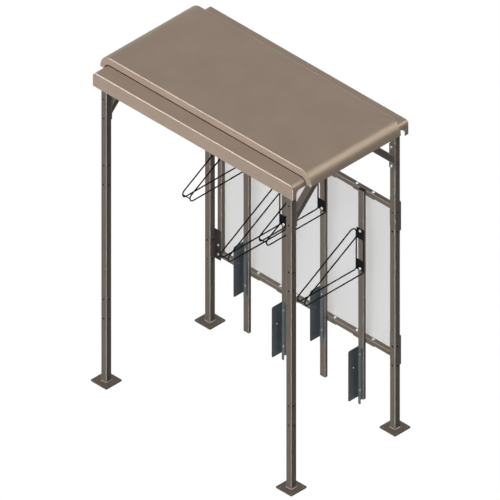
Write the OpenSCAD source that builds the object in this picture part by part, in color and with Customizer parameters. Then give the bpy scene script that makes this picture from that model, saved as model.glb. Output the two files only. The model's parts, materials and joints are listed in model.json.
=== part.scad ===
// Bicycle shelter with four upright racks, a framed back panel and a two-level roof.
// Origin at the middle of the four posts, on the ground. +X runs to the right, +Y to the back, +Z up.

/* [Bay] */
// Distance between post centres along the front
bay_length = 1780; // [1640:10:2600]
// Distance between post centres from front to back
bay_depth = 998; // [900:2:1300]
// Height of the underside of the roof beams
beam_height = 2519; // [2420:1:3000]

/* [Posts] */
// Side of a post's square tube
post_size = 50.8; // [45:0.1:60]
// Wall of the posts and beams
post_wall = 3.2; // [2:0.1:5]
// Outer corner radius of the posts and beams
post_corner = 5; // [3.5:0.1:7]
// Thickness of the plate on a post's head
head_plate_t = 6; // [4:0.5:10]
// Length of the plate on a post's head, along the end beam
head_plate_l = 132; // [126:1:150]
// Diameter of the bolt holes in the posts
post_hole_d = 14; // [12:0.1:16]
// Distance between the two holes of a pair
pair_spacing = 158.75; // [140:0.25:170]
// How far the middle of the top pair of holes lies below the beams
top_pair_drop = 242; // [230:1:260]
// Height of the middle of the second pair of holes
rail_pair_z = 1727; // [1690:1:1760]
// Height of the middle of the lowest pair of holes
foot_pair_z = 611; // [560:1:660]

/* [Base plates] */
// Side of a square base plate
base_size = 152.4; // [150:0.1:200]
// Thickness of a base plate
base_t = 9.5; // [6:0.5:14]
// Corner radius of a base plate
base_corner = 7; // [4:1:18]
// Distance between anchor holes
anchor_spacing = 114.3; // [108:0.1:120]
// Diameter of an anchor hole
anchor_hole_d = 14.5; // [13:0.1:17]

/* [Knee braces] */
// Side of a brace's square tube
brace_size = 50.8; // [38:0.1:54]
// How far below the beams a brace's lower edge meets its post
brace_rise = 303; // [280:1:330]
// Thickness of the plates at a brace's ends
brace_plate_t = 6; // [4:0.5:8]
// Length of the plates at a brace's ends
brace_plate_l = 198; // [190:1:210]

/* [Roof] */
// Thickness of the roof sheets
sheet_t = 3; // [2:0.1:4]
// How far the lower roof reaches past the post centres at each end
pan_end_reach = 73; // [60:1:90]
// How far the lower roof reaches past the post centres at the front and back
pan_side_reach = 60.4; // [52:0.2:90]
// Height of the front and back fascias
fascia_h = 116; // [100:1:140]
// Height of the lips between the fascias at each end
lip_h = 52; // [46:1:60]
// How far a fascia turns round the corner
return_w = 38; // [30:1:50]
// Radius where the lower roof bends down at its ends
pan_bend_r = 42; // [20:1:50]
// Radius of the lower roof's long edges
pan_edge_r = 12; // [6:0.5:16]
// Radius of the lower roof's upright corners
pan_corner_r = 6; // [4:0.5:12]
// How far the upper roof reaches past the lower one at each end
shell_reach = 53; // [45:1:70]
// Depth of the upper roof
shell_depth = 873; // [700:1:900]
// Height of the upper roof above the lower one
shell_rise = 69; // [60:1:90]
// Radius where the upper roof rolls down at its ends
shell_bend_r = 104; // [80:1:110]
// Radius of the upper roof's long edges
shell_edge_r = 10; // [6:0.5:16]
// Height of the upper roof's ends
shell_drop = 109; // [106:1:116]
// Height of the seal under the upper roof
seal_h = 10; // [6:0.5:12]
// Thickness of the seal under the upper roof
seal_t = 8; // [5:0.5:12]

/* [Back frame] */
// Side of the rails' and stiles' square tube
rail_size = 38.1; // [34:0.1:44]
// Wall of the rails, stiles and rack posts
rail_wall = 2.5; // [1.5:0.1:3.5]
// How far the back frame stays inside the post centres at each end
frame_gap = 37; // [30:1:45]
// Height of the top of the upper rail
frame_top_z = 1806; // [1790:1:1820]
// Height of the underside of the lower rail
frame_foot_z = 542; // [530:1:560]
// Thickness of the infill panel
panel_t = 2.5; // [1.5:0.1:2.6]
// How far the panel stays inside the frame's outline
panel_inset = 8; // [4:1:12]
// Thickness of the bracket plates
bracket_t = 8; // [6:0.5:8]
// Height of the bracket plates
bracket_h = 240; // [230:1:260]
// How far a bracket plate's middle lies above its pair of holes
bracket_shift = 35; // [25:1:38]

/* [Racks] */
// Number of racks
rack_count = 4; // [1:1:4]
// Distance between rack centres
rack_pitch = 368; // [330:1:400]
// Width of a rack post
rack_w = 50.8; // [44:0.1:56]
// Depth of a rack post
rack_d = 25.4; // [22:0.1:30]
// Height of a rack post's foot
rack_foot_z = 72; // [50:1:100]
// Height by which the high cradles lie above the low ones
stagger = 319; // [300:1:325]
// Length of the mounting bars under the rails
bar_w = 200; // [190:1:220]
// Thickness of the mounting bars
bar_t = 5; // [4:0.5:8]
// Distance between the two bolts of a mounting bar
bar_bolt_spacing = 155; // [140:1:165]

/* [Cradles] */
// Diameter of the cradle's rods
rod_d = 10; // [8:0.1:12]
// Distance between the two side frames of a cradle
cradle_w = 70; // [66:0.5:80]
// Height of the low cradles' level rods
cradle_z = 1139; // [1100:1:1160]
// How far from the rack post a cradle's level and slanted rods would meet
cradle_point = 654; // [600:1:700]
// Height above the level rods at which the upright and slanted rods would meet
cradle_peak = 377; // [340:1:390]
// Radius of the bends at a cradle's tip
tip_r = 30; // [24:0.5:40]
// Radius of the bends at a cradle's top
top_r = 40; // [30:0.5:55]
// Radius of the bends at a cradle's foot
foot_r = 15; // [12:0.5:25]
// Diameter of the bar across a cradle's tip
tip_bar_d = 8; // [6:0.1:9]
// Height of the two plates that carry a cradle
cradle_plate_h = 86; // [76:1:100]
// Thickness of the two plates that carry a cradle
cradle_plate_t = 5; // [4:0.5:8]

/* [Wheel trays] */
// Height of a tray's flanges
tray_h = 419; // [380:1:440]
// Height of the low trays' lower edge
tray_z = 81; // [76:1:100]
// Width of a tray's base
tray_w = 44; // [40:0.5:50]
// Depth of a tray's deep flange
tray_guide_d = 99; // [80:1:110]
// Depth of a tray's shallow flange
tray_lip_d = 21; // [16:0.5:30]
// Thickness of a tray's sheet
tray_t = 3; // [2:0.1:4]
// Length of the tongue below a tray's base
tongue_l = 62; // [40:1:66]
// Width of the tongue below a tray's base
tongue_w = 23; // [18:0.5:30]

/* [Hidden] */
racks = [for (i = [1 : rack_count]) i];
sides = ["left", "right"];

// One overrun for every cut, so that no cut ends flush with a face
over = 1;
paint = "#7b6f64";
roof_paint = "#a2917f";
dark_paint = "#46413c";
black = "#161616";
steel = "#b9bcbe";
slate = "#63686b";

// Fasteners
bolt_d = 10;
bolt_head_d = 17;
bolt_head_h = 6.5;
bolt_reach = 16;
screw_d = 5;
screw_head_d = 11;
screw_head_h = 1.8;
screw_pitch = 300;
tray_bolt_d = 8;
tray_bolt_head_d = 14;
tray_bolt_head_h = 5;
hole_clear = 0.5;

// Posts
post_inside = post_size - 2 * post_wall;
post_top_z = beam_height - head_plate_t;
top_pair_z = beam_height - top_pair_drop;
pair_heights = [top_pair_z, rail_pair_z, foot_pair_z];
side_pair_heights = [rail_pair_z, foot_pair_z];
post_x = bay_length / 2;
post_y = bay_depth / 2;
head_bolt_margin = 16;
head_bolt_gap = 36;

// Knee braces
brace_foot_z = beam_height - brace_rise;
brace_cut = brace_size * sqrt(2) / 2;
brace_mid = brace_rise - brace_cut;

// Beams
pan_under_z = beam_height + post_size;
pan_top_z = pan_under_z + sheet_t;
beam_end_y = post_y + post_size / 2;
beam_plate_w = 110;
beam_plate_t = 6;
beam_bolt_gap = 34;
beam_bolt_margin = 14;
long_beam_l = bay_length - post_size - 2 * beam_plate_t;

// Roof
pan_half_x = post_x + pan_end_reach;
pan_half_y = post_y + pan_side_reach;
shell_half_x = pan_half_x + shell_reach;
shell_top_z = pan_top_z + shell_rise;
shell_foot_z = shell_top_z - shell_drop;
spacer_w = post_size;
spacer_clear = 1;
spacer_l = shell_depth - 2 * (sheet_t + seal_t + spacer_clear);
spacer_h = shell_rise - sheet_t;
roof_bolt_margin = 65;
inner_bolt_share = 0.07;
roof_bolt_ys = [spacer_l / 2 - roof_bolt_margin, spacer_l * inner_bolt_share];

// Back frame
frame_w = bay_length - 2 * frame_gap;
frame_front_y = post_y + post_size / 2 + bracket_t;
rail_mid_y = frame_front_y + rail_size / 2;
frame_back_y = frame_front_y + rail_size;
rail_l = frame_w - 2 * rail_size;
stile_x = (frame_w - rail_size) / 2;
rail_corner = 4;
bracket_outer_x = post_x + post_size / 2;
bracket_inner_x = frame_w / 2 - rail_size;
stile_bolt_gap = 76;
frame_h = frame_top_z - frame_foot_z;

// Racks
rack_mid_y = frame_front_y - rack_d / 2;
rack_front_y = frame_front_y - rack_d;
rack_top_z = frame_top_z;
cap_t = 3;
cap_plug_h = 10;
rack_corner = 3;
bar_margin = 4;
bar_depth = rail_size - bar_margin;
cradle_bolt_margin = 17;
rod_sink = 2.7;
// A bend is drawn a hair thinner than its rods and starts inside them, so that the two always join
bend_lap = 1;
bend_thin = 0.08;
cradle_back = cradle_plate_t + rod_d / 2 - rod_sink;
cradle_outline = [[cradle_back, 0], [cradle_point, 0], [cradle_back, cradle_peak]];
cradle_radii = [foot_r, tip_r, top_r];
cradle_top = cradle_peak + top_r - tangent_l(cradle_outline[1], cradle_outline[2], cradle_outline[0], top_r);
cradle_tip = cradle_point + tip_r - tangent_l(cradle_outline[0], cradle_outline[1], cradle_outline[2], tip_r);
cradle_plate_w = cradle_w + rod_d / 4;
tray_bolt_margin = 60;
tray_hole_d = 10;
tray_hole_share = 0.62;
guide_round = 14;

function rack_x(i) = (i - (rack_count + 1) / 2) * rack_pitch;
function rack_lift(i) = i % 2 == 1 ? stagger : 0;
function side_sign(side) = side == "left" ? -1 : 1;
function unit(v) = v / norm(v);
function turn_at(a, b, c) =
    let (p = unit(b - a), q = unit(c - b))
    atan2(p[0] * q[1] - p[1] * q[0], p[0] * q[0] + p[1] * q[1]);
function tangent_l(a, b, c, r) = r * tan(abs(turn_at(a, b, c)) / 2);

// A rectangle with round corners, drawn about its middle
module round_rect(w, d, r) {
    square([w - 2 * r, d], center = true);
    square([w, d - 2 * r], center = true);
    for (x = [-1, 1], y = [-1, 1])
        translate([x * (w / 2 - r), y * (d / 2 - r)])
            circle(r = r, $fn = 32);
}

// The cross-section of a rectangular tube
module tube_section(w, d, r, wall) {
    difference() {
        round_rect(w, d, r);
        round_rect(w - 2 * wall, d - 2 * wall, r - wall > 0.5 * wall ? r - wall : 0.5 * wall);
    }
}

// A tube that runs up from the origin
module tube(w, d, r, wall, length) {
    linear_extrude(height = length)
        tube_section(w, d, r, wall);
}

// A hexagon-head bolt whose head sits on the plane z = 0 and whose shank runs down
module bolt(shank_d, head_d, head_h, shank_l) {
    cylinder(d = head_d, h = head_h, $fn = 6);
    translate([0, 0, -shank_l])
        cylinder(d = shank_d, h = shank_l + head_h / 2, $fn = 24);
}

// The same bolt with a nut at the far side of what it clamps
module bolt_and_nut(shank_d, head_d, head_h, grip) {
    bolt(shank_d, head_d, head_h, grip + head_h + shank_d / 4);
    translate([0, 0, -grip - head_h])
        cylinder(d = head_d, h = head_h, $fn = 6);
}

// A round hole along z, from z = 0 down by its depth
module hole(d, depth) {
    translate([0, 0, -depth - over])
        cylinder(d = d, h = depth + 2 * over, $fn = 32);
}

// A bent rod in the plane of x and y that closes on itself
module closed_rod(points, radii, rod_r) {
    n = len(points);
    for (i = [0 : n - 1]) {
        before = points[(i + n - 1) % n];
        here = points[i];
        next = points[(i + 1) % n];
        after = points[(i + 2) % n];
        turn = turn_at(before, here, next);
        along = unit(here - before);
        way = unit(next - here);
        bend_r = radii[i];
        first = tangent_l(before, here, next, bend_r);
        last = tangent_l(here, next, after, radii[(i + 1) % n]);
        start = here - along * first;
        centre = start + [-along[1], along[0]] * bend_r * sign(turn);
        toward = start - centre;
        translate(here + way * (first - bend_lap))
            rotate([0, 90, atan2(way[1], way[0])])
                cylinder(r = rod_r, h = norm(next - here) - first - last + 2 * bend_lap, $fn = 24);
        translate(centre)
            rotate([0, 0, atan2(toward[1], toward[0]) + min(turn, 0)])
                rotate_extrude(angle = abs(turn), $fn = 48)
                    translate([bend_r, 0])
                        circle(r = rod_r - bend_thin, $fn = 24);
    }
}

// Everything at one corner of the shelter, drawn for the front left and mirrored to the others
module at_corner(across, along) {
    mirror([across > 0 ? 1 : 0, 0, 0])
        mirror([0, along > 0 ? 1 : 0, 0])
            translate([-post_x, -post_y, 0])
                children();
}

// Posts: a drilled tube with a welded head plate
// The brackets' bolts sit in the back posts' outer holes, which are drilled to suit them
module post_body(along) {
    difference() {
        translate([0, 0, base_t])
            tube(post_size, post_size, post_corner, post_wall, post_top_z - base_t);
        for (z = pair_heights, s = [-1, 1])
            translate([0, 0, z + s * pair_spacing / 2])
                rotate([-90, 0, 0]) {
                    hole(outer_hole_d(z, along), post_size / 2);
                    translate([0, 0, post_size / 2])
                        hole(post_hole_d, post_size / 2);
                }
        for (z = side_pair_heights, s = [-1, 1])
            translate([post_size / 2, 0, z + s * pair_spacing / 2])
                rotate([0, 90, 0])
                    hole(post_hole_d, post_size);
    }
    difference() {
        translate([-post_size / 2, -post_size / 2, post_top_z])
            cube([post_size, head_plate_l, head_plate_t]);
        for (i = [0, 1])
            translate([0, head_bolt_y(i), beam_height])
                hole(bolt_d + 2 * hole_clear, head_plate_t);
    }
}
function head_bolt_y(i) = head_plate_l - post_size / 2 - head_bolt_margin - i * head_bolt_gap;
function outer_hole_d(z, along) = along > 0 && z < top_pair_z ? bolt_d + 2 * hole_clear : post_hole_d;

module post(across, along) {
    color(paint)
        at_corner(across, along)
            post_body(along);
}

// Base plates
module base_plate(across, along) {
    color(paint)
        at_corner(across, along)
            difference() {
                linear_extrude(height = base_t)
                    round_rect(base_size, base_size, base_corner);
                at_anchors()
                    translate([0, 0, base_t])
                        hole(anchor_hole_d, base_t);
            }
}

module at_anchors() {
    for (x = [-1, 1], y = [-1, 1])
        translate([x * anchor_spacing / 2, y * anchor_spacing / 2, 0])
            children();
}

// Knee braces: a tube at 45 degrees between two bolted plates, drawn with its post's inner face at y = 0
module brace_body() {
    intersection() {
        translate([0, 0, brace_foot_z + brace_cut])
            rotate([-45, 0, 0])
                translate([0, 0, -brace_rise])
                    tube(brace_size, brace_size, post_corner, post_wall, 3 * brace_rise);
        translate([-brace_size, brace_plate_t, brace_foot_z - brace_rise])
            cube([2 * brace_size, 2 * brace_rise, 2 * brace_rise - brace_plate_t]);
    }
    difference() {
        translate([-post_size / 2, 0, top_pair_z - brace_plate_l / 2])
            cube([post_size, brace_plate_t, brace_plate_l]);
        for (s = [-1, 1])
            translate([0, brace_plate_t, top_pair_z + s * pair_spacing / 2])
                rotate([-90, 0, 0])
                    hole(bolt_d + 2 * hole_clear, brace_plate_t);
    }
    difference() {
        translate([-post_size / 2, brace_mid - brace_plate_l / 2, beam_height - brace_plate_t])
            cube([post_size, brace_plate_l, brace_plate_t]);
        for (s = [-1, 1])
            translate([0, brace_mid + s * pair_spacing / 2, beam_height])
                hole(bolt_d + 2 * hole_clear, brace_plate_t);
    }
}

function brace_bolt_y(s) = post_size / 2 + brace_mid + s * pair_spacing / 2;

module brace(across, along) {
    color(paint)
        at_corner(across, along)
            translate([0, post_size / 2, 0])
                brace_body();
}

module brace_bolts() {
    color(steel)
        for (across = [-1, 1], along = [-1, 1], s = [-1, 1])
            at_corner(across, along) {
                translate([0, post_size / 2 + brace_plate_t, top_pair_z + s * pair_spacing / 2])
                    rotate([-90, 0, 0])
                        bolt(bolt_d, bolt_head_d, bolt_head_h, bolt_reach);
                translate([0, brace_bolt_y(s), beam_height - brace_plate_t])
                    rotate([180, 0, 0])
                        bolt(bolt_d, bolt_head_d, bolt_head_h, bolt_reach);
            }
}

// Roof beams: the end beams lie on the post heads, the long ones between them on bolted end plates
module end_beam(across) {
    color(paint)
        difference() {
            translate([across * post_x, -beam_end_y, beam_height + post_size / 2])
                rotate([-90, 0, 0])
                    tube(post_size, post_size, post_corner, post_wall, 2 * beam_end_y);
            for (along = [-1, 1]) {
                at_corner(across, along) {
                    for (i = [0, 1])
                        translate([0, head_bolt_y(i), beam_height + post_wall])
                            hole(bolt_d + 2 * hole_clear, post_wall);
                    for (s = [-1, 1])
                        translate([0, brace_bolt_y(s), beam_height + post_wall])
                            hole(bolt_d + 2 * hole_clear, post_wall);
                    for (i = [0, 1])
                        translate([post_size / 2, beam_bolt_y(i), beam_height + post_size / 2])
                            rotate([0, 90, 0])
                                hole(bolt_d + 2 * hole_clear, post_size);
                }
                for (y = roof_bolt_ys)
                    translate([across * post_x, along * y, pan_under_z])
                        hole(bolt_d + 2 * hole_clear, post_wall);
            }
        }
}
function beam_bolt_y(i) = beam_plate_w - post_size / 2 - beam_bolt_margin - i * beam_bolt_gap;

module long_beam(along) {
    mid_z = beam_height + post_size / 2;
    color(paint) {
        translate([-long_beam_l / 2, along * post_y, mid_z])
            rotate([0, 90, 0])
                tube(post_size, post_size, post_corner, post_wall, long_beam_l);
        for (across = [-1, 1])
            at_corner(across, along)
                translate([post_size / 2, 0, 0])
                    difference() {
                        translate([0, -post_size / 2, beam_height])
                            cube([beam_plate_t, beam_plate_w, post_size]);
                        for (i = [0, 1])
                            translate([beam_plate_t, beam_bolt_y(i), mid_z])
                                rotate([0, 90, 0])
                                    hole(bolt_d + 2 * hole_clear, beam_plate_t);
                    }
    }
}

module beam_bolts() {
    color(steel)
        for (across = [-1, 1], along = [-1, 1], i = [0, 1])
            at_corner(across, along)
                translate([-post_size / 2, beam_bolt_y(i), beam_height + post_size / 2])
                    rotate([0, -90, 0])
                        bolt_and_nut(bolt_d, bolt_head_d, bolt_head_h, post_size + beam_plate_t);
}

module head_bolts() {
    color(steel)
        for (across = [-1, 1], along = [-1, 1], i = [0, 1])
            at_corner(across, along)
                translate([0, head_bolt_y(i), post_top_z])
                    rotate([180, 0, 0])
                        bolt(bolt_d, bolt_head_d, bolt_head_h, bolt_reach);
}

// A block whose top edges are round: long_r on those along x and cross_r on those along y. Its top is at z = 0
module rolled_block(half_x, half_y, depth, long_r, cross_r) {
    intersection() {
        translate([0, half_y, 0])
            rotate([90, 0, 0])
                linear_extrude(height = 2 * half_y)
                    soft_top(half_x, depth, cross_r);
        translate([-half_x, 0, 0])
            rotate([90, 0, 90])
                linear_extrude(height = 2 * half_x)
                    soft_top(half_y, depth, long_r);
    }
}

// The same block with round upright corners too
module soft_block(half_x, half_y, depth, long_r, cross_r, corner_r) {
    intersection() {
        rolled_block(half_x, half_y, depth, long_r, cross_r);
        translate([0, 0, -depth])
            linear_extrude(height = depth)
                round_rect(2 * half_x, 2 * half_y, corner_r);
    }
}

// An upright outline with round top corners and its top at zero
module soft_top(half, depth, r) {
    translate([-half, -depth])
        square([2 * half, depth - r]);
    translate([-half + r, -depth])
        square([2 * (half - r), depth]);
    for (s = [-1, 1])
        translate([s * (half - r), -r])
            circle(r = r, $fn = 64);
}

// The lower roof: a folded pan whose fascias turn round the corners and sweep up to a shallow lip at each end
module pan_outside(grow) {
    translate([0, 0, pan_top_z + grow])
        soft_block(pan_half_x + grow, pan_half_y + grow, fascia_h + grow,
            pan_edge_r + grow, pan_bend_r + grow, pan_corner_r + grow);
}

lip_gap_h = fascia_h - lip_h;
lip_gap_half = pan_half_y - return_w;
lip_sweep_r = 30;
inner_round = 1;
module lip_gap() {
    translate([-pan_half_x - over, 0, pan_top_z - fascia_h])
        rotate([90, 0, 90])
            linear_extrude(height = 2 * (pan_half_x + over)) {
                translate([-lip_gap_half, -over])
                    square([2 * lip_gap_half, lip_gap_h - lip_sweep_r + over]);
                translate([lip_sweep_r - lip_gap_half, -over])
                    square([2 * (lip_gap_half - lip_sweep_r), lip_gap_h + over]);
                for (s = [-1, 1])
                    translate([s * (lip_gap_half - lip_sweep_r), lip_gap_h - lip_sweep_r])
                        circle(r = lip_sweep_r, $fn = 48);
            }
}

module roof_lower_pan() {
    color(roof_paint)
        difference() {
            pan_outside(0);
            translate([0, 0, pan_under_z])
                soft_block(pan_half_x - sheet_t, pan_half_y - sheet_t, fascia_h + over,
                    pan_edge_r - sheet_t, pan_bend_r - sheet_t, pan_corner_r - sheet_t + inner_round);
            lip_gap();
            for (across = [-1, 1], along = [-1, 1], y = roof_bolt_ys)
                translate([across * post_x, along * y, pan_top_z])
                    hole(bolt_d + 2 * hole_clear, sheet_t);
        }
}

// The upper roof: one rim section runs down one end, round its bend, along the flat and down the other end
module rim_section(reach, half_y, r) {
    translate([0, -half_y])
        square([reach - r, 2 * half_y]);
    translate([0, r - half_y])
        square([reach, 2 * (half_y - r)]);
    for (s = [-1, 1])
        translate([reach - r, s * (half_y - r)])
            circle(r = r, $fn = 32);
}

// A solid form of that run, made smaller on every side by the inset; its legs end at the foot
module rolled_form(inset, foot) {
    flat = shell_half_x - shell_bend_r;
    bend_r = shell_bend_r - inset;
    half_y = shell_depth / 2 - inset;
    edge_r = shell_edge_r - inset;
    translate([0, 0, shell_top_z - shell_bend_r]) {
        translate([flat, 0, 0])
            rotate([0, -90, 0])
                linear_extrude(height = 2 * flat)
                    rim_section(bend_r, half_y, edge_r);
        for (s = [0, 1])
            mirror([s, 0, 0])
                translate([flat, 0, 0]) {
                    rotate([90, 0, 0])
                        rotate_extrude(angle = 90, $fn = 128)
                            rim_section(bend_r, half_y, edge_r);
                    translate([0, 0, -foot])
                        linear_extrude(height = foot)
                            rim_section(bend_r, half_y, edge_r);
                }
    }
}

module roof_upper_shell() {
    foot = shell_drop - shell_bend_r;
    color(roof_paint)
        difference() {
            rolled_form(0, foot);
            rolled_form(sheet_t, foot + over);
            pan_outside(seal_h);
        }
}

module roof_seals() {
    color(black)
        for (s = [-1, 1])
            intersection() {
                translate([0, s * (shell_depth - seal_t) / 2, shell_foot_z])
                    translate([-shell_half_x, -seal_t / 2, 0])
                        cube([2 * shell_half_x, seal_t, shell_drop]);
                difference() {
                    pan_outside(seal_h);
                    pan_outside(0);
                }
            }
}

module roof_spacer(across) {
    color(paint)
        difference() {
            translate([across * post_x, -spacer_l / 2, pan_top_z + spacer_h / 2])
                rotate([-90, 0, 0])
                    tube(spacer_w, spacer_h, post_corner, post_wall, spacer_l);
            for (along = [-1, 1], y = roof_bolt_ys)
                translate([across * post_x, along * y, pan_top_z + post_wall])
                    hole(bolt_d + 2 * hole_clear, post_wall);
        }
}

module roof_bolts() {
    color(steel)
        for (across = [-1, 1], along = [-1, 1], y = roof_bolt_ys)
            translate([across * post_x, along * y, pan_top_z + post_wall])
                bolt_and_nut(bolt_d, bolt_head_d, bolt_head_h, 2 * post_wall + sheet_t);
}

// Back frame
module rail(foot_z) {
    mid_z = foot_z + rail_size / 2;
    color(paint)
        difference() {
            translate([-rail_l / 2, rail_mid_y, mid_z])
                rotate([0, 90, 0])
                    tube(rail_size, rail_size, rail_corner, rail_wall, rail_l);
            for (i = racks, s = [-1, 1])
                translate([rack_x(i) + s * bar_bolt_spacing / 2, rail_mid_y, foot_z + rail_size])
                    hole(bolt_d + 2 * hole_clear, rail_size);
        }
}

module stile(across) {
    color(paint)
        difference() {
            translate([across * stile_x, rail_mid_y, frame_foot_z])
                tube(rail_size, rail_size, rail_corner, rail_wall, frame_h);
            for (z = side_pair_heights, s = [-1, 1])
                translate([across * stile_x, frame_front_y + rail_wall, z + s * stile_bolt_gap / 2])
                    rotate([-90, 0, 0])
                        hole(bolt_d + 2 * hole_clear, rail_wall);
        }
}

panel_w = frame_w - 2 * panel_inset;
panel_h = frame_h - 2 * panel_inset;
across_screws = floor(rail_l / screw_pitch);
up_screws = floor(frame_h / screw_pitch);
module at_panel_screws() {
    for (i = [0 : across_screws], z = [0, 1])
        translate([(i / across_screws - 0.5) * 2 * stile_x, frame_back_y,
            frame_foot_z + rail_size / 2 + z * (frame_h - rail_size)])
            rotate([-90, 0, 0])
                children();
    for (i = [1 : up_screws - 1], across = [-1, 1])
        translate([across * stile_x, frame_back_y,
            frame_foot_z + rail_size / 2 + i / up_screws * (frame_h - rail_size)])
            rotate([-90, 0, 0])
                children();
}

module back_panel() {
    color("#d5d5d5")
        difference() {
            translate([-panel_w / 2, frame_back_y, frame_foot_z + panel_inset])
                cube([panel_w, panel_t, panel_h]);
            at_panel_screws()
                translate([0, 0, panel_t])
                    hole(screw_d, panel_t);
        }
}

module panel_screws() {
    color(steel)
        at_panel_screws() {
            translate([0, 0, panel_t])
                cylinder(d = screw_head_d, h = screw_head_h, $fn = 24);
            cylinder(d = screw_d, h = panel_t + screw_head_h / 2, $fn = 16);
        }
}

// Bracket plates that join the back posts to the back frame
module bracket(across, pair_z) {
    mid_z = pair_z + bracket_shift;
    wide = bracket_outer_x - bracket_inner_x;
    color(dark_paint)
        difference() {
            translate([across * (bracket_outer_x + bracket_inner_x) / 2, post_y + post_size / 2, mid_z])
                rotate([-90, 0, 0])
                    linear_extrude(height = bracket_t)
                        round_rect(wide, bracket_h, rail_corner);
            for (s = [-1, 1]) {
                translate([across * post_x, frame_front_y, pair_z + s * pair_spacing / 2])
                    rotate([-90, 0, 0])
                        hole(bolt_d + 2 * hole_clear, bracket_t);
                translate([across * stile_x, frame_front_y, pair_z + s * stile_bolt_gap / 2])
                    rotate([-90, 0, 0])
                        hole(bolt_d + 2 * hole_clear, bracket_t);
            }
        }
}

module bracket_bolts() {
    color(steel)
        for (across = [-1, 1], z = side_pair_heights, s = [-1, 1]) {
            translate([across * post_x, frame_front_y, z + s * pair_spacing / 2])
                rotate([-90, 0, 0])
                    bolt(bolt_d, bolt_head_d, bolt_head_h, bolt_reach);
            translate([across * stile_x, post_y + post_size / 2, z + s * stile_bolt_gap / 2])
                rotate([90, 0, 0])
                    bolt(bolt_d, bolt_head_d, bolt_head_h, bolt_reach);
        }
}

// Rack posts
module rack_post(i) {
    color(paint)
        difference() {
            translate([rack_x(i), rack_mid_y, rack_foot_z])
                tube(rack_w, rack_d, rack_corner, rail_wall, rack_top_z - rack_foot_z);
            for (z = cradle_bolt_heights(i))
                translate([rack_x(i), rack_front_y + rail_wall, z])
                    rotate([-90, 0, 0])
                        hole(bolt_d + 2 * hole_clear, rail_wall);
            for (z = tray_bolt_heights(i))
                translate([rack_x(i), rack_front_y + rail_wall, z])
                    rotate([-90, 0, 0])
                        hole(tray_bolt_d + 2 * hole_clear, rail_wall);
        }
}

// Flat bars welded to the backs of the rack posts, which bolt up under the rails
module rack_bars() {
    color(paint)
        for (i = racks, z = [frame_foot_z, frame_top_z - rail_size])
            difference() {
                translate([rack_x(i) - bar_w / 2, frame_front_y, z - bar_t])
                    cube([bar_w, bar_depth, bar_t]);
                for (s = [-1, 1])
                    translate([rack_x(i) + s * bar_bolt_spacing / 2, rail_mid_y, z])
                        hole(bolt_d + 2 * hole_clear, bar_t);
            }
}

module rack_cap(i) {
    plug_w = rack_w - 2 * rail_wall - hole_clear;
    plug_d = rack_d - 2 * rail_wall - hole_clear;
    color(black)
        translate([rack_x(i), rack_mid_y, rack_top_z]) {
            linear_extrude(height = cap_t)
                round_rect(rack_w, rack_d, rack_corner);
            translate([0, 0, -cap_plug_h])
                linear_extrude(height = cap_plug_h)
                    round_rect(plug_w, plug_d, rack_corner / 2);
        }
}

module rack_bolts() {
    color(steel)
        for (i = racks, z = [frame_foot_z, frame_top_z - rail_size], s = [-1, 1])
            translate([rack_x(i) + s * bar_bolt_spacing / 2, rail_mid_y, z + rail_size])
                bolt_and_nut(bolt_d, bolt_head_d, bolt_head_h, rail_size + bar_t);
}

// Wheel cradles: two bent side frames, welded to two plates on the rack post and to a bar across the tip
function cradle_foot(i) = cradle_z + rack_lift(i);
function cradle_bolt_heights(i) = [
    cradle_foot(i) + cradle_bolt_margin,
    cradle_foot(i) + cradle_top - cradle_bolt_margin
];
module at_cradle(i) {
    translate([rack_x(i), rack_front_y, cradle_foot(i)])
        children();
}

module side_frames() {
    for (s = [-1, 1])
        translate([s * cradle_w / 2, 0, 0])
            rotate([90, 0, -90])
                closed_rod(cradle_outline, cradle_radii, rod_d / 2);
}

module cradle_frames(i) {
    color(black)
        at_cradle(i)
            side_frames();
}

// The tip bar's ends and the plates' grooves are cut to fit round the side frames
module cradle_ties(i) {
    color(black)
        at_cradle(i)
            difference() {
                union() {
                    translate([-cradle_w / 2, -cradle_tip, tip_r])
                        rotate([0, 90, 0])
                            cylinder(d = tip_bar_d, h = cradle_w, $fn = 24);
                    for (z = [0, cradle_top - cradle_plate_h])
                        translate([-cradle_plate_w / 2, -cradle_plate_t, z])
                            cube([cradle_plate_w, cradle_plate_t, cradle_plate_h]);
                }
                for (bolt_z = cradle_bolt_heights(i))
                    translate([0, 0, bolt_z - cradle_foot(i)])
                        rotate([-90, 0, 0])
                            hole(bolt_d + 2 * hole_clear, cradle_plate_t);
                side_frames();
            }
}

module cradle_bolts() {
    color(steel)
        for (i = racks, z = cradle_bolt_heights(i))
            translate([rack_x(i), rack_front_y - cradle_plate_t, z])
                rotate([90, 0, 0])
                    bolt(bolt_d, bolt_head_d, bolt_head_h, bolt_reach);
}

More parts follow.
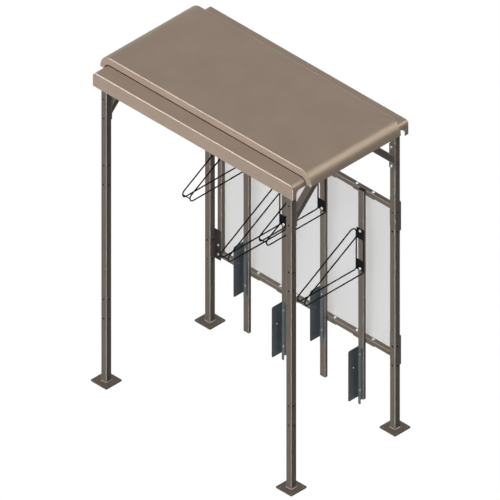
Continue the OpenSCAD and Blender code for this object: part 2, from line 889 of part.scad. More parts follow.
// Wheel trays: a base with one deep and one shallow flange and a tongue below
function tray_foot(i) = tray_z + rack_lift(i);
function tray_bolt_heights(i) = [tray_foot(i) + tray_bolt_margin, tray_foot(i) + tray_h - tray_bolt_margin];
module wheel_tray(i) {
    color(slate)
        translate([rack_x(i), rack_front_y, tray_foot(i)])
            difference() {
                union() {
                    translate([-tray_w / 2, -tray_t, 0])
                        cube([tray_w, tray_t, tray_h]);
                    translate([-tray_w / 2, -tray_t, tongue_w / 2 - tongue_l])
                        cube([tongue_w, tray_t, tongue_l]);
                    translate([(tongue_w - tray_w) / 2, 0, tongue_w / 2 - tongue_l])
                        rotate([90, 0, 0])
                            cylinder(d = tongue_w, h = tray_t, $fn = 32);
                    translate([tray_w / 2 - tray_t, -tray_lip_d, 0])
                        cube([tray_t, tray_lip_d, tray_h]);
                    translate([-tray_w / 2, 0, 0])
                        rotate([90, 0, 90])
                            linear_extrude(height = tray_t)
                                guide_outline();
                }
                for (z = tray_bolt_heights(i))
                    translate([0, 0, z - tray_foot(i)])
                        rotate([-90, 0, 0])
                            hole(tray_bolt_d + 2 * hole_clear, tray_t);
                translate([-tray_w / 2 + tray_t, -tray_guide_d / 2, tray_h * tray_hole_share])
                    rotate([0, 90, 0])
                        hole(tray_hole_d, tray_t);
            }
}

// The deep flange's outline, with its front corners rounded
module guide_outline() {
    translate([-tray_guide_d + guide_round, 0])
        square([tray_guide_d - guide_round, tray_h]);
    translate([-tray_guide_d, guide_round])
        square([tray_guide_d, tray_h - 2 * guide_round]);
    for (z = [guide_round, tray_h - guide_round])
        translate([-tray_guide_d + guide_round, z])
            circle(r = guide_round, $fn = 32);
}

module tray_bolts() {
    color(steel)
        for (i = racks, z = tray_bolt_heights(i))
            translate([rack_x(i), rack_front_y - tray_t, z])
                rotate([90, 0, 0])
                    bolt(tray_bolt_d, tray_bolt_head_d, tray_bolt_head_h, bolt_reach);
}

post(-1, -1);  // post_front_left
post(1, -1);  // post_front_right
post(-1, 1);  // post_back_left
post(1, 1);  // post_back_right
base_plate(-1, -1);  // base_plate_front_left
base_plate(1, -1);  // base_plate_front_right
base_plate(-1, 1);  // base_plate_back_left
base_plate(1, 1);  // base_plate_back_right
brace(-1, -1);  // brace_front_left
brace(1, -1);  // brace_front_right
brace(-1, 1);  // brace_back_left
brace(1, 1);  // brace_back_right
brace_bolts();
end_beam(-1);  // roof_beam_left
end_beam(1);  // roof_beam_right
long_beam(-1);  // roof_beam_front
long_beam(1);  // roof_beam_back
beam_bolts();
head_bolts();
roof_lower_pan();
roof_upper_shell();
roof_seals();
roof_spacer(-1);  // roof_spacer_left
roof_spacer(1);  // roof_spacer_right
roof_bolts();
rail(frame_top_z - rail_size);  // rail_upper
rail(frame_foot_z);  // rail_lower
stile(-1);  // stile_left
stile(1);  // stile_right
back_panel();
panel_screws();
bracket(-1, rail_pair_z);  // bracket_upper_left
bracket(1, rail_pair_z);  // bracket_upper_right
bracket(-1, foot_pair_z);  // bracket_lower_left
bracket(1, foot_pair_z);  // bracket_lower_right
bracket_bolts();
rack_post(1);  // rack_post_1
rack_post(2);  // rack_post_2
rack_post(3);  // rack_post_3
rack_post(4);  // rack_post_4
rack_bars();
rack_cap(1);  // rack_cap_1
rack_cap(2);  // rack_cap_2
rack_cap(3);  // rack_cap_3
rack_cap(4);  // rack_cap_4
cradle_frames(1);  // cradle_frames_1
cradle_frames(2);  // cradle_frames_2
cradle_frames(3);  // cradle_frames_3
cradle_frames(4);  // cradle_frames_4
cradle_ties(1);  // cradle_ties_1
cradle_ties(2);  // cradle_ties_2
cradle_ties(3);  // cradle_ties_3
cradle_ties(4);  // cradle_ties_4
wheel_tray(1);  // wheel_tray_1
wheel_tray(2);  // wheel_tray_2
wheel_tray(3);  // wheel_tray_3
wheel_tray(4);  // wheel_tray_4
rack_bolts();
cradle_bolts();
tray_bolts();
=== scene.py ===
import json
import math

import bmesh
import bpy
from mathutils import Matrix, Vector


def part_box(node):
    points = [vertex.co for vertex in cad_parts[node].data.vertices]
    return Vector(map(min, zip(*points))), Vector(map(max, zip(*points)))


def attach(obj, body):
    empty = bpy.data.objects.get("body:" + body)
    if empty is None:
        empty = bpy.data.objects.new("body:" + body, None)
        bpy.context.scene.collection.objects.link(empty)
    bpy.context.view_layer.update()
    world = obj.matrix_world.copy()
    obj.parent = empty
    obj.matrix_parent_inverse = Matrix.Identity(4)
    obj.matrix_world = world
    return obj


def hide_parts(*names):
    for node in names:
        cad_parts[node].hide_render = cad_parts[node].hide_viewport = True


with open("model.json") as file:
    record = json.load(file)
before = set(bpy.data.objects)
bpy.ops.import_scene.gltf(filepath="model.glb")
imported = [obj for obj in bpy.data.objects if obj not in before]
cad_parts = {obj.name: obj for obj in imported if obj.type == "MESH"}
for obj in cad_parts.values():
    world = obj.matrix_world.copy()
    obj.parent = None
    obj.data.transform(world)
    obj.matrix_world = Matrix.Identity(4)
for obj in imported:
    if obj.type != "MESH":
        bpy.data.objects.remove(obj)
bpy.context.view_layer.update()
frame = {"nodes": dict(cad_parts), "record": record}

print("frame loaded:", len(frame["nodes"]), "nodes")

corners = ["front_left", "front_right", "back_left", "back_right"]
racks = ["1", "2", "3", "4"]


def toLinear(hexCode):
    values = [int(hexCode[i:i + 2], 16) / 255 for i in (1, 3, 5)]
    return [v / 12.92 if v <= 0.04045 else ((v + 0.055) / 1.055) ** 2.4 for v in values] + [1.0]


def addNode(tree, kind, settings=None, inputs=None, links=None):
    # settings are the node's own options, inputs its plain values, links (input, source node, output)
    made = tree.nodes.new(kind)
    for name, value in (settings or {}).items():
        setattr(made, name, value)
    for name, value in (inputs or {}).items():
        made.inputs[name].default_value = value
    for name, source, output in links or ():
        tree.links.new(source.outputs[output], made.inputs[name])
    return made


def newMaterial(name):
    made = bpy.data.materials.new(name)
    made.use_nodes = True
    made.node_tree.nodes.clear()
    return made, made.node_tree


# Powder coat: dry paint fused on steel. It gives a satin face with a faint cloud and a fine orange peel.
# Peel is about 2 mm wide on the real coat; it is drawn coarser so that it shows in the render.
powderCoat = {"ior": 1.5, "cloudDetail": 3.0, "cloudRough": 0.55, "toneRange": (0.35, 0.68),
    "glossRange": (0.3, 0.7), "peelDetail": 2.0, "peelRough": 0.5}


def makePowderCoat(name, values):
    made, tree = newMaterial(name)
    coord = addNode(tree, "ShaderNodeTexCoord")
    cloud = addNode(tree, "ShaderNodeTexNoise",
        inputs={"Scale": 1000 / values["cloudMm"], "Detail": powderCoat["cloudDetail"],
            "Roughness": powderCoat["cloudRough"]},
        links=[("Vector", coord, "Object")])
    tone = addNode(tree, "ShaderNodeValToRGB", links=[("Fac", cloud, "Fac")])
    tone.color_ramp.elements[0].position = powderCoat["toneRange"][0]
    tone.color_ramp.elements[1].position = powderCoat["toneRange"][1]
    tone.color_ramp.elements[0].color = toLinear(values["dark"])
    tone.color_ramp.elements[1].color = toLinear(values["light"])
    peel = addNode(tree, "ShaderNodeTexNoise",
        inputs={"Scale": 1000 / values["peelMm"], "Detail": powderCoat["peelDetail"],
            "Roughness": powderCoat["peelRough"]},
        links=[("Vector", coord, "Object")])
    bump = addNode(tree, "ShaderNodeBump",
        inputs={"Strength": values["peelStrength"], "Distance": values["peelDepthMm"] / 1000},
        links=[("Height", peel, "Fac")])
    gloss = addNode(tree, "ShaderNodeMapRange",
        inputs={"From Min": powderCoat["glossRange"][0], "From Max": powderCoat["glossRange"][1],
            "To Min": values["gloss"][0], "To Max": values["gloss"][1]},
        links=[("Value", cloud, "Fac")])
    coat = addNode(tree, "ShaderNodeBsdfPrincipled",
        inputs={"IOR": powderCoat["ior"], "Specular IOR Level": values["specular"],
            "Specular Tint": toLinear(values.get("tint", "#ffffff"))},
        links=[("Base Color", tone, "Color"), ("Roughness", gloss, "Result"), ("Normal", bump, "Normal")])
    addNode(tree, "ShaderNodeOutputMaterial", links=[("Surface", coat, "BSDF")])
    return made


roofCoat = {"dark": "#b09c8c", "light": "#b5a191", "cloudMm": 260, "peelMm": 9, "peelStrength": 0.08,
    "peelDepthMm": 0.6, "gloss": (0.38, 0.44), "specular": 0.1}
# Where the roof sheets bend, the coat is stretched thin and smooth, so bends shine more than the flats.
bendCoat = {"dark": "#a08e7c", "light": "#a6947f", "cloudMm": 260, "peelMm": 9, "peelStrength": 0.05,
    "peelDepthMm": 0.6, "gloss": (0.28, 0.33), "specular": 0.8, "tint": "#fff3e6"}
# The wide rolls at the roof's ends are stretched less than its tight bends, so they are duller.
rollCoat = {"dark": "#a89685", "light": "#ae9c89", "cloudMm": 260, "peelMm": 9, "peelStrength": 0.05,
    "peelDepthMm": 0.6, "gloss": (0.34, 0.39), "specular": 0.35, "tint": "#ffe3c8"}
frameCoat = {"dark": "#6f665d", "light": "#766d63", "cloudMm": 180, "peelMm": 7, "peelStrength": 0.08,
    "peelDepthMm": 0.5, "gloss": (0.38, 0.45), "specular": 0.06}
# Hands and straps rub the coat smooth where a tube turns its corner, so it is glossier there.
# Its colour is also a little lighter than the frame coat: a painted highlight along the corner.
cornerCoatPaintedHighlight = {"dark": "#736a61", "light": "#7b7268", "cloudMm": 120, "peelMm": 7, "peelStrength": 0.05,
    "peelDepthMm": 0.5, "gloss": (0.28, 0.34), "specular": 0.5}
bracketCoat = {"dark": "#2c2825", "light": "#322e2a", "cloudMm": 90, "peelMm": 7, "peelStrength": 0.08,
    "peelDepthMm": 0.5, "gloss": (0.40, 0.48), "specular": 0.12}
cradleCoat = {"dark": "#0b0b0b", "light": "#111111", "cloudMm": 60, "peelMm": 6, "peelStrength": 0.08,
    "peelDepthMm": 0.4, "gloss": (0.40, 0.48), "specular": 0.04}
trayCoat = {"dark": "#5d6467", "light": "#656c6f", "cloudMm": 90, "peelMm": 6, "peelStrength": 0.08,
    "peelDepthMm": 0.4, "gloss": (0.40, 0.48), "specular": 0.2}

cornerPaintedHighlight = makePowderCoat("framePowderCoatCornerPaintedHighlight", cornerCoatPaintedHighlight)
sheetBend = makePowderCoat("roofPowderCoatAtBends", bendCoat)
sheetRoll = makePowderCoat("roofPowderCoatAtRolls", rollCoat)
slotMaterials = {
    "roof_paint": makePowderCoat("roofPowderCoat", roofCoat),
    "frame_paint": makePowderCoat("framePowderCoat", frameCoat),
    "bracket_paint": makePowderCoat("bracketPowderCoat", bracketCoat),
    "cradle_paint": makePowderCoat("cradlePowderCoat", cradleCoat),
    "tray_paint": makePowderCoat("trayPowderCoat", trayCoat),
}


# Zinc plate on bolts: a thin bright metal film with a slight cloud in its tone and gloss.
zincPlate = {"dark": "#b9bbbc", "light": "#d6d7d8", "cloudMm": 14, "cloudDetail": 4.0,
    "gloss": (0.28, 0.42)}


def makeZinc(name, values):
    made, tree = newMaterial(name)
    coord = addNode(tree, "ShaderNodeTexCoord")
    cloud = addNode(tree, "ShaderNodeTexNoise",
        inputs={"Scale": 1000 / values["cloudMm"], "Detail": values["cloudDetail"]},
        links=[("Vector", coord, "Object")])
    tone = addNode(tree, "ShaderNodeValToRGB", links=[("Fac", cloud, "Fac")])
    tone.color_ramp.elements[0].color = toLinear(values["dark"])
    tone.color_ramp.elements[1].color = toLinear(values["light"])
    gloss = addNode(tree, "ShaderNodeMapRange",
        inputs={"To Min": values["gloss"][0], "To Max": values["gloss"][1]},
        links=[("Value", cloud, "Fac")])
    plate = addNode(tree, "ShaderNodeBsdfPrincipled", inputs={"Metallic": 1.0},
        links=[("Base Color", tone, "Color"), ("Roughness", gloss, "Result")])
    addNode(tree, "ShaderNodeOutputMaterial", links=[("Surface", plate, "BSDF")])
    return made


slotMaterials["zinc"] = makeZinc("zincPlatedSteel", zincPlate)


# Polycarbonate sheet: extruded, pale and slightly milky, so it has a soft gloss and faint upright draw
# lines. They are finer on the real sheet and are drawn coarser so that they show.
panelSheet = {"dark": "#e9e9e9", "light": "#eeeeee", "drawMm": 30, "drawStretch": 0.02, "drawDetail": 2.0,
    "drawStrength": 0.05, "drawDepthMm": 0.4, "rough": 0.32, "ior": 1.58, "specular": 0.4}


def makeSheet(name, values):
    made, tree = newMaterial(name)
    coord = addNode(tree, "ShaderNodeTexCoord")
    stretch = addNode(tree, "ShaderNodeMapping", inputs={"Scale": (1.0, 1.0, values["drawStretch"])},
        links=[("Vector", coord, "Object")])
    draw = addNode(tree, "ShaderNodeTexNoise",
        inputs={"Scale": 1000 / values["drawMm"], "Detail": values["drawDetail"]},
        links=[("Vector", stretch, "Vector")])
    tone = addNode(tree, "ShaderNodeValToRGB", links=[("Fac", draw, "Fac")])
    tone.color_ramp.elements[0].color = toLinear(values["dark"])
    tone.color_ramp.elements[1].color = toLinear(values["light"])
    bump = addNode(tree, "ShaderNodeBump",
        inputs={"Strength": values["drawStrength"], "Distance": values["drawDepthMm"] / 1000},
        links=[("Height", draw, "Fac")])
    sheet = addNode(tree, "ShaderNodeBsdfPrincipled",
        inputs={"Roughness": values["rough"], "IOR": values["ior"],
            "Specular IOR Level": values["specular"]},
        links=[("Base Color", tone, "Color"), ("Normal", bump, "Normal")])
    addNode(tree, "ShaderNodeOutputMaterial", links=[("Surface", sheet, "BSDF")])
    return made


slotMaterials["panel_sheet"] = makeSheet("milkyPolycarbonate", panelSheet)


# Moulded rubber and nylon are dull and even, with a fine grain from the mould. Mill scale is dull too:
# paint doesn't reach the inside of a tube, which is bare steel with a bloom of rust. Its near-black tone is
# also painted shade, for the shadow inside a tube and its holes that the shadowless lamps don't throw.
# Each grain is drawn coarser than the real one so that it shows.
grain = {"detail": 3.0, "strength": 0.15, "depthMm": 0.3}
# The seal's near-black brown is painted shade as well as rubber: it stands in for the dark line where the
# shell's rim sits on the pan.
sealRubberPaintedShade = {"dark": "#2b221a", "light": "#352a21", "grainMm": 5, "rough": 0.8, "ior": 1.52,
    "specular": 0.1}
capNylon = {"dark": "#0b0b0b", "light": "#111111", "grainMm": 4, "rough": 0.6, "ior": 1.53,
    "specular": 0.1}
insideScaleAndPaintedShade = {"dark": "#0d0b0a", "light": "#1b1512", "grainMm": 18, "rough": 0.9, "ior": 1.5,
    "specular": 0.05}


def makeDullSurface(name, values):
    made, tree = newMaterial(name)
    coord = addNode(tree, "ShaderNodeTexCoord")
    noise = addNode(tree, "ShaderNodeTexNoise",
        inputs={"Scale": 1000 / values["grainMm"], "Detail": grain["detail"]},
        links=[("Vector", coord, "Object")])
    tone = addNode(tree, "ShaderNodeValToRGB", links=[("Fac", noise, "Fac")])
    tone.color_ramp.elements[0].color = toLinear(values["dark"])
    tone.color_ramp.elements[1].color = toLinear(values["light"])
    bump = addNode(tree, "ShaderNodeBump",
        inputs={"Strength": grain["strength"], "Distance": grain["depthMm"] / 1000},
        links=[("Height", noise, "Fac")])
    body = addNode(tree, "ShaderNodeBsdfPrincipled",
        inputs={"Roughness": values["rough"], "IOR": values["ior"],
            "Specular IOR Level": values["specular"]},
        links=[("Base Color", tone, "Color"), ("Normal", bump, "Normal")])
    addNode(tree, "ShaderNodeOutputMaterial", links=[("Surface", body, "BSDF")])
    return made


slotMaterials["seal_rubber"] = makeDullSurface("sealRubberPaintedShade", sealRubberPaintedShade)
slotMaterials["cap_plastic"] = makeDullSurface("capNylon", capNylon)
tubeInsidePaintedShade = makeDullSurface("bareTubeInsidePaintedShade", insideScaleAndPaintedShade)


# The coat over a weld follows the ripples of the bead, so it glints more than the coat beside it. Its
# colour is lighter than the frame coat on the rest of the post, a painted highlight along the bead.
# Ripples are about 2 mm apart on a real bead and are drawn coarser so that they show.
beadCoatPaintedHighlight = {"dark": "#797066", "light": "#91867a", "rippleMm": 22, "wander": 2.5, "detail": 2.0,
    "detailScale": 1.5, "rippleStrength": 0.35, "rippleDepthMm": 0.8, "rough": 0.33, "ior": 1.5,
    "specular": 0.5}


def makeWeldCoat(name, values):
    made, tree = newMaterial(name)
    coord = addNode(tree, "ShaderNodeTexCoord")
    ripple = addNode(tree, "ShaderNodeTexWave", {"wave_type": "BANDS", "bands_direction": "DIAGONAL"},
        inputs={"Scale": 1000 / values["rippleMm"], "Distortion": values["wander"],
            "Detail": values["detail"], "Detail Scale": values["detailScale"]},
        links=[("Vector", coord, "Object")])
    tone = addNode(tree, "ShaderNodeValToRGB", links=[("Fac", ripple, "Fac")])
    tone.color_ramp.elements[0].color = toLinear(values["dark"])
    tone.color_ramp.elements[1].color = toLinear(values["light"])
    bump = addNode(tree, "ShaderNodeBump",
        inputs={"Strength": values["rippleStrength"], "Distance": values["rippleDepthMm"] / 1000},
        links=[("Height", ripple, "Fac")])
    coat = addNode(tree, "ShaderNodeBsdfPrincipled",
        inputs={"Roughness": values["rough"], "IOR": values["ior"],
            "Specular IOR Level": values["specular"]},
        links=[("Base Color", tone, "Color"), ("Normal", bump, "Normal")])
    addNode(tree, "ShaderNodeOutputMaterial", links=[("Surface", coat, "BSDF")])
    return made


weldCoatPaintedHighlight = makeWeldCoat("paintOverWeldPaintedHighlight", beadCoatPaintedHighlight)
print("materials made for", len(slotMaterials), "slots")

# Every solid takes the material of its slot in the record.
for subpart in frame["record"]["subparts"]:
    solid = frame["nodes"][subpart["node"]]
    solid.data.materials.clear()
    solid.data.materials.append(slotMaterials[subpart["material_slot"]])


# Points this close are one point, or lie on one level, and faces this flat are one face.
near = {"mergeMm": 0.02, "levelMm": 0.2, "flatDegrees": 0.5}


def mergedSolid(node):
    # a CAD mesh is loose triangles, so its copy is joined up and its flat faces are made whole
    shape = bmesh.new()
    shape.from_mesh(frame["nodes"][node].data)
    bmesh.ops.remove_doubles(shape, verts=shape.verts, dist=near["mergeMm"] / 1000)
    bmesh.ops.dissolve_limit(shape, angle_limit=math.radians(near["flatDegrees"]), verts=shape.verts,
        edges=shape.edges)
    shape.normal_update()
    return shape


# Bends shade smoothly up to the sharp angle, and a flat face stays flat beside the narrow strips of its
# bend. Rods and beads are round all over, so there even a long face shades smoothly beside a short one.
foldShade = {"sharpDegrees": 32, "flatShare": 8}
rodShade = {"sharpDegrees": 50, "flatShare": 200}
beadShade = {"sharpDegrees": 60, "flatShare": 1000}


def smoothBends(shape, values=foldShade):
    for face in shape.faces:
        face.smooth = True
    for edge in shape.edges:
        if len(edge.link_faces) != 2:
            continue
        small, large = sorted(face.calc_area() for face in edge.link_faces)
        turned = edge.calc_face_angle(0.0) > math.radians(values["sharpDegrees"])
        edge.smooth = not turned and large < values["flatShare"] * small


def softenEdges(shape, values, keep=None):
    # painted plate has its edges broken, which draws a fine line of light along them
    least = math.radians(values["leastDegrees"])
    chosen = [edge for edge in shape.edges if len(edge.link_faces) == 2 and edge.is_convex
        and edge.calc_face_angle(0.0) > least and (keep is None or keep(edge))]
    bmesh.ops.bevel(shape, geom=chosen, offset=values["radiusMm"] / 1000, segments=values["segments"],
        profile=0.5, affect="EDGES", clamp_overlap=True, material=-1)


def softenTop(shape, values, top):
    # only the edges that lie on the level of the piece's top
    level = near["levelMm"] / 1000
    softenEdges(shape, values, keep=lambda edge: all(abs(vert.co.z - top) < level for vert in edge.verts))


def addPiece(name, shape, slotName, *standsFor):
    shape.normal_update()
    mesh = bpy.data.meshes.new(name)
    shape.to_mesh(mesh)
    shape.free()
    mesh.materials.append(slotMaterials[slotName])
    piece = bpy.data.objects.new(name, mesh)
    bpy.context.scene.collection.objects.link(piece)
    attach(piece, "root")
    if standsFor:
        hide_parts(*standsFor)
    return piece


# The strips that make up a tube's rounded corners are long and narrow and face along no axis.
cornerStrip = {"widestMm": 3, "shortestMm": 50, "offAxisDegrees": 2}


def facesAlongAxis(face):
    return max(abs(part) for part in face.normal) >= math.cos(math.radians(cornerStrip["offAxisDegrees"]))


# the corner strips take the lighter corner coat: a painted highlight along each corner, besides its gloss
def paintCornerHighlight(shape, index):
    # faces that already have another material, inside a post, keep it
    for face in shape.faces:
        longest = max(edge.calc_length() for edge in face.edges)
        narrow = face.calc_area() < cornerStrip["widestMm"] / 1000 * longest
        if longest > cornerStrip["shortestMm"] / 1000 and narrow and not facesAlongAxis(face):
            if face.material_index == 0:
                face.material_index = index


# Posts: drilled tubes, coated outside and bare inside. The coat also covers the plate on the head, and it
# stops at the rim of each hole, whose wall takes the tube inside's near-black, painted shade over bare
# steel.
# The slack is room for rounding.
postTube = {"sideMm": 50.8, "wallMm": 3.2, "headPlateMm": 8, "slackMm": 0.4, "holeMm": 8.5}


def makePost(corner, values):
    node = "post_" + corner
    low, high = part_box(node)
    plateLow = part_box("base_plate_" + corner)
    centreX = (low[0] + high[0]) / 2
    centreY = (plateLow[0][1] + plateLow[1][1]) / 2
    inner = (values["sideMm"] / 2 - values["wallMm"] + values["slackMm"]) / 1000
    outer = (values["sideMm"] / 2 - values["slackMm"]) / 1000
    shape = mergedSolid(node)
    for face in shape.faces:
        spot = face.calc_center_median()
        across, along = abs(spot.x - centreX), abs(spot.y - centreY)
        inside = max(across, along) < inner
        drilled = max(across, along) < outer and min(across, along) < values["holeMm"] / 1000
        if (inside or drilled) and spot.z < high[2] - values["headPlateMm"] / 1000:
            face.material_index = 1
        else:
            face.material_index = 0
    paintCornerHighlight(shape, 2)
    smoothBends(shape)
    post = addPiece("painted_" + node, shape, "frame_paint", node)
    post.data.materials.append(tubeInsidePaintedShade)
    post.data.materials.append(cornerPaintedHighlight)


for corner in corners:
    makePost(corner, postTube)
print("posts made:", len(corners))

# Racks, rails, stiles, braces and beams: cut lengths of the same coated tube.
tubeNodes = ["rack_post_" + rack for rack in racks]
tubeNodes += ["rail_upper", "rail_lower", "stile_left", "stile_right"]
tubeNodes += ["brace_" + corner for corner in corners]
tubeNodes += ["roof_beam_left", "roof_beam_right", "roof_beam_front", "roof_beam_back"]
for node in tubeNodes:
    shape = mergedSolid(node)
    paintCornerHighlight(shape, 1)
    smoothBends(shape)
    tube = addPiece("coated_" + node, shape, "frame_paint", node)
    tube.data.materials.append(cornerPaintedHighlight)
print("tubes made:", len(tubeNodes))

# Base plates: flame cut, then ground, so their top edges and holes are broken.
plateEdge = {"radiusMm": 1.6, "segments": 3, "leastDegrees": 50}
for corner in corners:
    node = "base_plate_" + corner
    shape = mergedSolid(node)
    softenTop(shape, plateEdge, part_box(node)[1][2])
    smoothBends(shape)
    addPiece("eased_" + node, shape, "frame_paint", node)
print("base plates made:", len(corners))

# Fillet weld round the foot of each post: a bead laid in the corner and painted over. The shares give its
# bulge, as places between the toe on the plate and the toe on the tube. It laps under both toes a little.
footWeld = {"legMm": 4.8, "cornerMm": 5.0, "steps": 6, "lapMm": 1.0,
    "bulgeShares": ((0.93, 0.28), (0.66, 0.66), (0.28, 0.93))}


def roundedLoop(shape, half, radius, steps, middle):
    # a square loop with round corners, made by bevelling the corners of a grid's one face
    made = bmesh.ops.create_grid(shape, x_segments=1, y_segments=1, size=half)
    bmesh.ops.translate(shape, verts=made["verts"], vec=middle)
    bmesh.ops.bevel(shape, geom=made["verts"], offset=radius, segments=steps, profile=0.5,
        affect="VERTICES", material=-1)
    face = max(shape.faces, key=lambda each: each.calc_area())
    edges = list(face.edges)
    bmesh.ops.delete(shape, geom=[face], context="FACES_ONLY")
    return edges


def makeFootWeld(corner, values):
    low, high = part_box("base_plate_" + corner)
    foot = Vector(((low[0] + high[0]) / 2, (low[1] + high[1]) / 2, high[2]))
    leg = values["legMm"] / 1000
    lap = values["lapMm"] / 1000
    # the bead's section: how far out from the tube, and how far up from the plate
    rows = [(-lap, -lap), (leg, -lap)]
    rows += [(leg * out, leg * up) for out, up in values["bulgeShares"]]
    rows += [(-lap, leg)]
    shape = bmesh.new()
    loops = []
    for out, up in rows:
        half = postTube["sideMm"] / 2000 + out
        radius = values["cornerMm"] / 1000 + out
        loops.append(roundedLoop(shape, half, radius, values["steps"], foot + Vector((0, 0, up))))
    for lower, upper in zip(loops, loops[1:]):
        bmesh.ops.bridge_loops(shape, edges=lower + upper)
    bmesh.ops.recalc_face_normals(shape, faces=shape.faces)
    smoothBends(shape, beadShade)
    bead = addPiece("foot_weld_" + corner, shape, "frame_paint")
    # the bead's lighter coat is a painted highlight
    bead.data.materials[0] = weldCoatPaintedHighlight


for corner in corners:
    makeFootWeld(corner, footWeld)
print("foot welds made:", len(corners))

# Bolts: hexagon heads are forged with their corners broken. Each of these sits on a stamped washer.
boltGroups = {
    "rack_bolts": {"face": (0, 0, 1), "washerMm": 22},
    "cradle_bolts": {"face": (0, -1, 0), "washerMm": 21},
    "tray_bolts": {"face": (0, -1, 0), "washerMm": 17},
}
headEdge = {"radiusMm": 0.7, "segments": 2, "leastDegrees": 40}
headLevels = {"sameMm": 0.05, "thinnestMm": 2}  # how level a head's face is, and the least height of a head
washer = {"thickMm": 1.6, "steps": 24}
washerEdge = {"radiusMm": 0.4, "segments": 2, "leastDegrees": 60}


def looseParts(shape):
    # each bolt's points, in the order in which the bolts come
    seen = set()
    groups = []
    for first in shape.verts:
        if first in seen:
            continue
        seen.add(first)
        group = [first]
        for vert in group:
            for edge in vert.link_edges:
                other = edge.other_vert(vert)
                if other not in seen:
                    seen.add(other)
                    group.append(other)
        groups.append(group)
    return groups


def makeBolts(node, values):
    # returns the middle of each head's underside, where its washer goes
    shape = mergedSolid(node)
    face = Vector(values["face"])
    same = headLevels["sameMm"] / 1000
    thinnest = headLevels["thinnestMm"] / 1000
    seats = []
    for group in looseParts(shape):
        outer = max(vert.co.dot(face) for vert in group)
        rim = [vert for vert in group if abs(vert.co.dot(face) - outer) < same]
        middle = sum((vert.co for vert in rim), Vector()) / len(rim)
        under = max(vert.co.dot(face) for vert in group if vert.co.dot(face) < outer - thinnest)
        seats.append(middle + face * (under - outer))
    softenEdges(shape, headEdge)
    addPiece("forged_" + node, shape, "zinc", node)
    return seats


def makeWashers(name, seats, values):
    face = Vector(values["face"])
    turn = Vector((0, 0, 1)).rotation_difference(face).to_matrix().to_4x4()
    shape = bmesh.new()
    for seat in seats:
        made = bmesh.ops.create_circle(shape, cap_ends=True, segments=washer["steps"],
            radius=values["washerMm"] / 2000, matrix=Matrix.Translation(seat) @ turn)
        disc = made["verts"][0].link_faces[0]
        raised = bmesh.ops.extrude_face_region(shape, geom=[disc])
        verts = [item for item in raised["geom"] if isinstance(item, bmesh.types.BMVert)]
        bmesh.ops.translate(shape, verts=verts, vec=face * (washer["thickMm"] / 1000))
    bmesh.ops.recalc_face_normals(shape, faces=shape.faces)
    softenEdges(shape, washerEdge)
    smoothBends(shape)
    addPiece(name, shape, "zinc")


for node, groupValues in boltGroups.items():
    seats = makeBolts(node, groupValues)
    makeWashers(node.replace("bolts", "washers"), seats, groupValues)
    print("bolts made:", node, len(seats))

# The rest of the bolts and the panel's screws sit straight on their plates.
screwEdge = {"radiusMm": 0.4, "segments": 2, "leastDegrees": 40}
plainBolts = {"brace_bolts": headEdge, "head_bolts": headEdge, "beam_bolts": headEdge,
    "bracket_bolts": headEdge, "panel_screws": screwEdge}
for node, edgeValues in plainBolts.items():
    shape = mergedSolid(node)
    softenEdges(shape, edgeValues)
    addPiece("forged_" + node, shape, "zinc", node)
print("plain bolts made:", len(plainBolts))

# Roof sheets: the long bends shine, and the wide rolls at the ends have a coat of their own. A roll's
# faces turn about the y axis, so they hardly lean along it.
roofSheet = {"rollLean": 0.02}
for node in ("roof_lower_pan", "roof_upper_shell"):
    shape = mergedSolid(node)
    for face in shape.faces:
        if not facesAlongAxis(face):
            face.material_index = 2 if abs(face.normal.y) < roofSheet["rollLean"] else 1
    smoothBends(shape)
    sheet = addPiece("folded_" + node, shape, "roof_paint", node)
    sheet.data.materials.append(sheetBend)
    sheet.data.materials.append(sheetRoll)
print("roof sheets made")

# Wheel cradles: closed runs of bent rod.
for rack in racks:
    node = "cradle_frames_" + rack
    shape = mergedSolid(node)
    smoothBends(shape, rodShade)
    addPiece("bent_" + node, shape, "cradle_paint", node)


def makeSheetPiece(node, wayMade, values, slotName):
    # a plate or a folded sheet, with its cut edges broken
    shape = mergedSolid(node)
    softenEdges(shape, values)
    smoothBends(shape)
    addPiece(wayMade + node, shape, slotName, node)


# Brackets: laser cut plates, with edges broken by hand before the coat goes on.
bracketEdge = {"radiusMm": 1.2, "segments": 2, "leastDegrees": 60}
for node in ("bracket_upper_left", "bracket_upper_right", "bracket_lower_left", "bracket_lower_right"):
    makeSheetPiece(node, "eased_", bracketEdge, "bracket_paint")

# Trays: folded from sheet, with sheared edges dressed before the coat goes on.
trayEdge = {"radiusMm": 0.7, "segments": 2, "leastDegrees": 60}
for rack in racks:
    makeSheetPiece("wheel_tray_" + rack, "folded_", trayEdge, "tray_paint")

# Back panel: sawn sheet with its edges scraped.
panelEdge = {"radiusMm": 0.8, "segments": 2, "leastDegrees": 60}
makeSheetPiece("back_panel", "scraped_", panelEdge, "panel_sheet")

# Caps: pressed into the rack posts, with a rounded crown.
capEdge = {"radiusMm": 1.2, "segments": 3, "leastDegrees": 50}
for rack in racks:
    node = "rack_cap_" + rack
    shape = mergedSolid(node)
    softenTop(shape, capEdge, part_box(node)[1][2])
    smoothBends(shape)
    addPiece("moulded_" + node, shape, "cap_plastic", node)
print("cradles, brackets, trays, panel and caps made")


def seenDirectly(tree):
    # 1 where the camera sees it straight, in a gloss or through glass, and 0 where it lights the object
    path = addNode(tree, "ShaderNodeLightPath")
    seen = addNode(tree, "ShaderNodeMath", {"operation": "ADD", "use_clamp": True},
        links=[(0, path, "Is Camera Ray"), (1, path, "Is Glossy Ray")])
    return addNode(tree, "ShaderNodeMath", {"operation": "ADD", "use_clamp": True},
        links=[(0, seen, "Value"), (1, path, "Is Transmission Ray")])


# Floor: a plain disc that looks nearly white and keeps the object's shadow. It lies just under the object.
floorValues = {"radius": 40.0, "steps": 96, "drop": 0.0005, "shade": "#6c6c6c", "glow": 0.93}


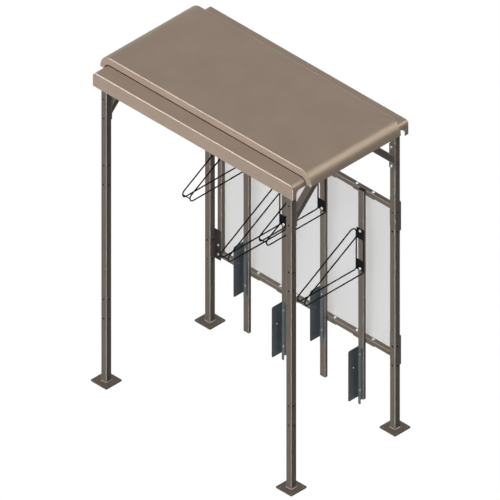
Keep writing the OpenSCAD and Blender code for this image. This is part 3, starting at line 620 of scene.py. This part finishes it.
def makeFloor(values):
    made, tree = newMaterial("paleFloor")
    seen = seenDirectly(tree)
    glow = addNode(tree, "ShaderNodeMath", {"operation": "MULTIPLY"}, inputs={1: values["glow"]},
        links=[(0, seen, "Value")])
    matte = addNode(tree, "ShaderNodeBsdfDiffuse", inputs={"Color": toLinear(values["shade"])})
    light = addNode(tree, "ShaderNodeEmission", inputs={"Color": toLinear("#ffffff")},
        links=[("Strength", glow, "Value")])
    both = addNode(tree, "ShaderNodeAddShader", links=[(0, matte, "BSDF"), (1, light, "Emission")])
    addNode(tree, "ShaderNodeOutputMaterial", links=[("Surface", both, "Shader")])
    mesh = bpy.data.meshes.new("floor")
    shape = bmesh.new()
    bmesh.ops.create_circle(shape, cap_ends=True, segments=values["steps"], radius=values["radius"])
    shape.to_mesh(mesh)
    shape.free()
    mesh.materials.append(made)
    floor = bpy.data.objects.new("floor", mesh)
    bpy.context.scene.collection.objects.link(floor)
    floor.location.z = -values["drop"]


# Sky: white to the eye at a strength of 1, and a faint even fill on the object.
skyValues = {"tint": "#ffffff", "fill": 0.07, "seen": 1.0}


def makeSky(values):
    world = bpy.data.worlds.new("studioSky")
    bpy.context.scene.world = world
    world.use_nodes = True
    tree = world.node_tree
    tree.nodes.clear()
    seen = seenDirectly(tree)
    fill = addNode(tree, "ShaderNodeBackground",
        inputs={"Color": toLinear(values["tint"]), "Strength": values["fill"]})
    white = addNode(tree, "ShaderNodeBackground",
        inputs={"Color": toLinear(values["tint"]), "Strength": values["seen"]})
    pick = addNode(tree, "ShaderNodeMixShader",
        links=[("Fac", seen, "Value"), (1, fill, "Background"), (2, white, "Background")])
    addNode(tree, "ShaderNodeOutputWorld", links=[("Surface", pick, "Shader")])


# One soft lamp throws the shadows and the others fill. A gloss lamp lights no plain face: it draws
# the line of light along the edges and bends that run one way. A plain lamp leaves no line.
lampValues = {
    "softLamp": {"strength": 0.40, "angle": 60, "toward": (-0.1, -1.0, 0.35), "shadow": True},
    "frontLamp": {"strength": 1.35, "angle": 30, "toward": (-0.1, -1.0, 0.05), "shadow": False},
    "highLamp": {"strength": 1.00, "angle": 20, "toward": (-0.2, -1.0, 1.0), "shadow": False,
        "plainOnly": True},
    "rightLamp": {"strength": 0.97, "angle": 40, "toward": (1.0, 1.0, 1.0), "shadow": False},
    "longEdgeGloss": {"strength": 2.7, "angle": 24, "toward": (-1.0, -1.37, 0.37), "shadow": False,
        "glossOnly": True},
    "uprightGloss": {"strength": 4.0, "angle": 20, "toward": (1.0, -1.0, -1.0), "shadow": False,
        "glossOnly": True},
    "bendGloss": {"strength": 3.2, "angle": 40, "toward": (1.0, 1.0, 1.0), "shadow": False,
        "glossOnly": True},
}


def makeLamp(name, values):
    lamp = bpy.data.lights.new(name, "SUN")
    lamp.energy = values["strength"]
    lamp.angle = math.radians(values["angle"])
    lamp.use_shadow = values["shadow"]
    sun = bpy.data.objects.new(name, lamp)
    bpy.context.scene.collection.objects.link(sun)
    sun.visible_diffuse = not values.get("glossOnly", False)
    sun.visible_glossy = not values.get("plainOnly", False)
    sun.rotation_mode = "QUATERNION"
    sun.rotation_quaternion = Vector(values["toward"]).to_track_quat("Z", "Y")


# Camera: the isometric view of the photo.
cameraValues = {"aim": (-0.003, -0.003, 1.286), "from": (1.0, -1.0, 1.0), "distance": 12.0,
    "orthoScale": 3.402, "clipEnd": 100.0}


def makeCamera(values):
    eye = bpy.data.cameras.new("isometricCamera")
    eye.type = "ORTHO"
    eye.ortho_scale = values["orthoScale"]
    eye.clip_end = values["clipEnd"]
    camera = bpy.data.objects.new("isometricCamera", eye)
    bpy.context.scene.collection.objects.link(camera)
    back = Vector(values["from"]).normalized()
    camera.rotation_mode = "QUATERNION"
    camera.rotation_quaternion = (-back).to_track_quat("-Z", "Y")
    camera.location = Vector(values["aim"]) + back * values["distance"]
    bpy.context.scene.camera = camera


makeFloor(floorValues)
makeSky(skyValues)
for lampName, lampChoice in lampValues.items():
    makeLamp(lampName, lampChoice)
makeCamera(cameraValues)
bpy.context.scene.view_settings.view_transform = "Standard"
print("stage, light and camera set")
